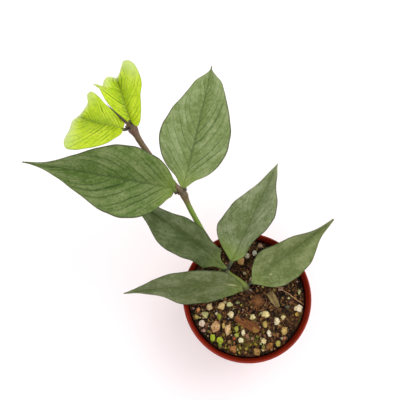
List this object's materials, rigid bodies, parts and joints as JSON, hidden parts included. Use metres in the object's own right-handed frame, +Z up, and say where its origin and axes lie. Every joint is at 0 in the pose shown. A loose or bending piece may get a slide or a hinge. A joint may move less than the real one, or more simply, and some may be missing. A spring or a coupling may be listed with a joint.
{
  "type": "potted hoya plant",
  "caption": "Young trailing hoya with paired pointed leaves on one leaning stem, in a round tapered plastic nursery pot of gritty mix.",
  "frame": {"origin": "centre of the flat boss under the pot, on the plane that the pot stands on", "axes": "+Z up along the pot's axis; the plant leans towards -X and +Y"},
  "size_m": [0.1733, 0.1697, 0.1483],
  "materials": {
    "pot": "satin moulded polypropylene",
    "growing_mix": "loose damp coir and bark mix, matte",
    "stem": "waxy skin",
    "leaf": "matte waxy leaf",
    "young_leaf": "thin translucent leaf",
    "pumice_cream": "rough mineral grain",
    "pumice_tan": "rough mineral grain",
    "pumice_green": "algae-stained grain",
    "pumice_rust": "iron-stained grain",
    "bark": "dry bark",
    "fibre": "dry coir fibre"
  },
  "bodies": {
    "root": {"bark_chip": "bark", "bark_strip": "bark", "coco_clump": "bark", "fibre_curl": "fibre", "fibre_strand": "fibre", "grain_amber": "pumice_rust", "grain_back_grey": "pumice_cream", "grain_back_large": "pumice_tan", "grain_back_pink": "pumice_cream", "grain_back_white": "pumice_cream", "grain_blush": "pumice_cream", "grain_brown_small": "pumice_rust", "grain_buff": "pumice_tan", "grain_by_stem": "pumice_cream", "grain_cream_centre": "pumice_cream", "grain_cream_front": "pumice_cream", "grain_cream_left": "pumice_cream", "grain_cream_narrow": "pumice_cream", "grain_cream_right": "pumice_cream", "grain_cream_small": "pumice_cream", "grain_green_centre": "pumice_cream", "grain_grey_green": "pumice_cream", "grain_ivory": "pumice_cream", "grain_lime_left": "pumice_green", "grain_lime_right": "pumice_green", "grain_moss": "pumice_green", "grain_ochre": "pumice_rust", "grain_olive_front": "pumice_rust", "grain_olive_small": "pumice_rust", "grain_orange_small": "pumice_rust", "grain_peach_large": "pumice_tan", "grain_pitted": "pumice_cream", "grain_porous": "pumice_rust", "grain_ringed": "pumice_tan", "grain_rose_small": "pumice_tan", "grain_rust_small": "pumice_rust", "grain_sage": "pumice_cream", "grain_straw_long": "pumice_tan", "grain_tan_long": "pumice_tan", "grain_tan_olive": "pumice_rust", "grain_white_front": "pumice_cream", "grain_white_large": "pumice_cream", "growing_mix": "growing_mix", "leaf_lower_left": "leaf", "leaf_lower_right": "leaf", "leaf_middle_left": "leaf", "leaf_middle_right": "leaf", "leaf_upper_left": "leaf", "leaf_upper_right": "leaf", "pot": "pot", "stem": "stem", "young_leaf_left": "young_leaf", "young_leaf_right": "young_leaf"}
  },
  "joints": []
}
